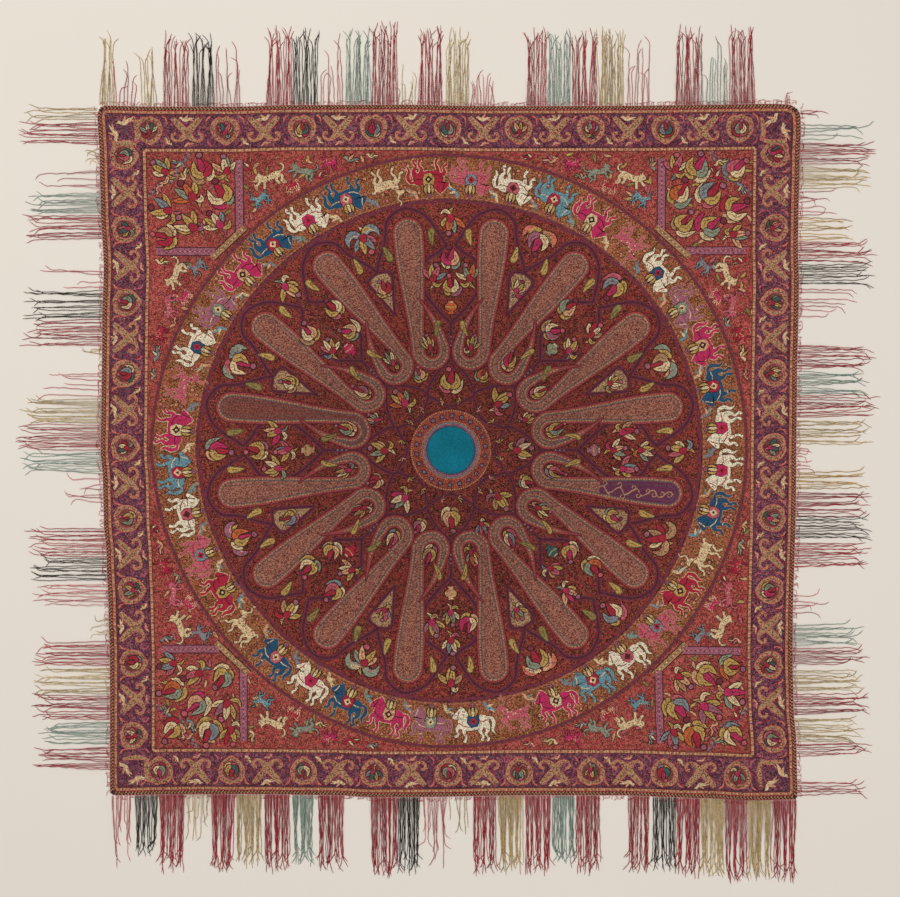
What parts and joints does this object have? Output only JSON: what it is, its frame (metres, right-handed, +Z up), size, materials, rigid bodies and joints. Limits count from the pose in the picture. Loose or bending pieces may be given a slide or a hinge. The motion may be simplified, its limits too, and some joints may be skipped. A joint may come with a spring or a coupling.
{
  "type": "kashmir moon shawl laid flat",
  "caption": "Square Kashmir moon shawl laid flat: blue moon, rosette of long botehs, animal band, corner pieces, roundel border, plaited edging and fringe.",
  "frame": {"origin": "middle of the moon, on the surface that the shawl lies on", "axes": "+X to the right of the shawl and +Y to its top, seen from above; +Z up off the surface"},
  "size_m": [2.232, 2.232, 0.0092],
  "materials": {
    "moon_cloth": "fine plain twill, soft sheen",
    "moon_ring_cloth": "embroidered wool, matte",
    "rosette_cloth": "close twill tapestry, matte",
    "ring_band_cloth": "close twill tapestry, matte",
    "corner_cloth": "close twill tapestry, matte",
    "guard_stripe": "cream chain stitch, matte",
    "border_cloth": "close twill tapestry, matte",
    "plaited_edging": "two-colour plait of wool yarn",
    "fringe_yarn": "soft loose wool yarn"
  },
  "bodies": {
    "root": {"moon_disc": "moon_cloth", "moon_ring": "moon_ring_cloth", "rosette_panel_1": "rosette_cloth", "rosette_panel_2": "rosette_cloth", "rosette_panel_3": "rosette_cloth", "rosette_panel_4": "rosette_cloth", "rosette_panel_5": "rosette_cloth", "rosette_panel_6": "rosette_cloth", "rosette_panel_7": "rosette_cloth", "rosette_panel_8": "rosette_cloth", "ring_band_1": "ring_band_cloth", "ring_band_2": "ring_band_cloth", "ring_band_3": "ring_band_cloth", "ring_band_4": "ring_band_cloth", "ring_band_5": "ring_band_cloth", "ring_band_6": "ring_band_cloth", "ring_band_7": "ring_band_cloth", "ring_band_8": "ring_band_cloth", "corner_panel_ne": "corner_cloth", "corner_panel_nw": "corner_cloth", "corner_panel_sw": "corner_cloth", "corner_panel_se": "corner_cloth", "inner_guard_top": "guard_stripe", "border_top": "border_cloth", "outer_guard_top": "guard_stripe", "edge_braid_top": "plaited_edging", "fringe_top": "fringe_yarn", "inner_guard_right": "guard_stripe", "border_right": "border_cloth", "outer_guard_right": "guard_stripe", "edge_braid_right": "plaited_edging", "fringe_right": "fringe_yarn", "inner_guard_bottom": "guard_stripe", "border_bottom": "border_cloth", "outer_guard_bottom": "guard_stripe", "edge_braid_bottom": "plaited_edging", "fringe_bottom": "fringe_yarn", "inner_guard_left": "guard_stripe", "border_left": "border_cloth", "outer_guard_left": "guard_stripe", "edge_braid_left": "plaited_edging", "fringe_left": "fringe_yarn"}
  },
  "joints": []
}
